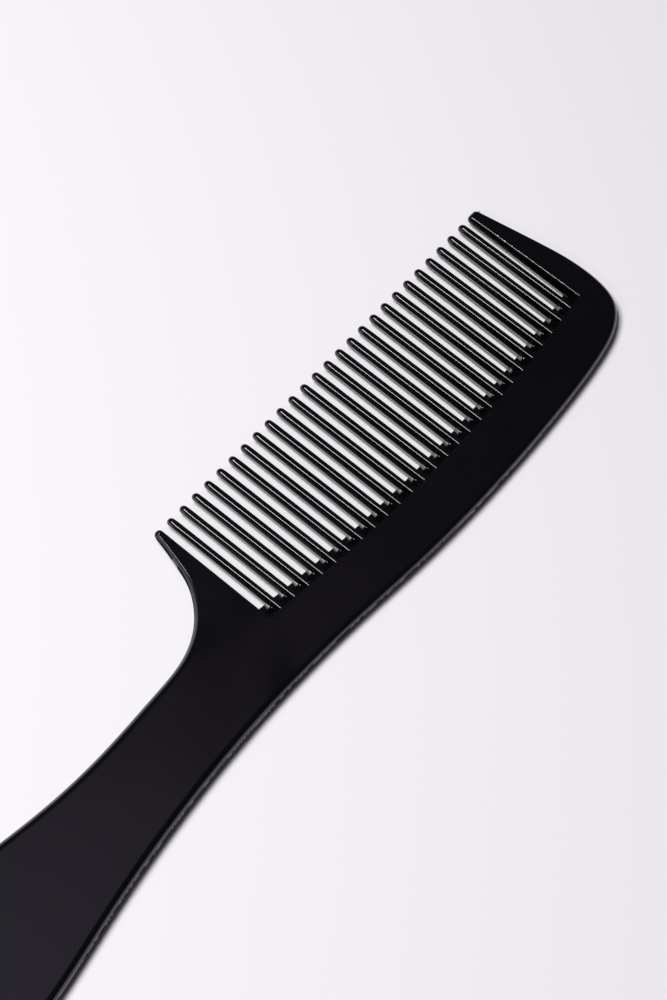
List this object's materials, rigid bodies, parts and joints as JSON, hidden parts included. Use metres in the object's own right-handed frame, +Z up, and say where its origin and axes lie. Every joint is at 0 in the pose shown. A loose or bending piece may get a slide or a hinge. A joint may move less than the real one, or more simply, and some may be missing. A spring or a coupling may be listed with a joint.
{
  "type": "wide tooth comb",
  "caption": "Black plastic wide tooth comb with a broad flared handle, a gently bowed back, and a solid guard tooth at each end of the row.",
  "frame": {"origin": "centre of the bounding box in plan, on the flat underside that the comb lies on", "axes": "+X from the handle to the free end, +Y from the back to the tooth tips, +Z up out of the upper face"},
  "size_m": [0.218, 0.0473, 0.0039],
  "materials": {
    "comb_plastic": "glossy black moulded plastic with a fine satin haze"
  },
  "bodies": {
    "root": {"handle": "comb_plastic", "spine": "comb_plastic", "rear_guard_tooth": "comb_plastic", "front_guard_tooth": "comb_plastic", "tooth_01": "comb_plastic", "tooth_02": "comb_plastic", "tooth_03": "comb_plastic", "tooth_04": "comb_plastic", "tooth_05": "comb_plastic", "tooth_06": "comb_plastic", "tooth_07": "comb_plastic", "tooth_08": "comb_plastic", "tooth_09": "comb_plastic", "tooth_10": "comb_plastic", "tooth_11": "comb_plastic", "tooth_12": "comb_plastic", "tooth_13": "comb_plastic", "tooth_14": "comb_plastic", "tooth_15": "comb_plastic", "tooth_16": "comb_plastic", "tooth_17": "comb_plastic", "tooth_18": "comb_plastic", "tooth_19": "comb_plastic", "tooth_20": "comb_plastic", "tooth_21": "comb_plastic", "tooth_22": "comb_plastic", "tooth_23": "comb_plastic", "tooth_24": "comb_plastic", "tooth_25": "comb_plastic", "tooth_26": "comb_plastic"}
  },
  "joints": []
}
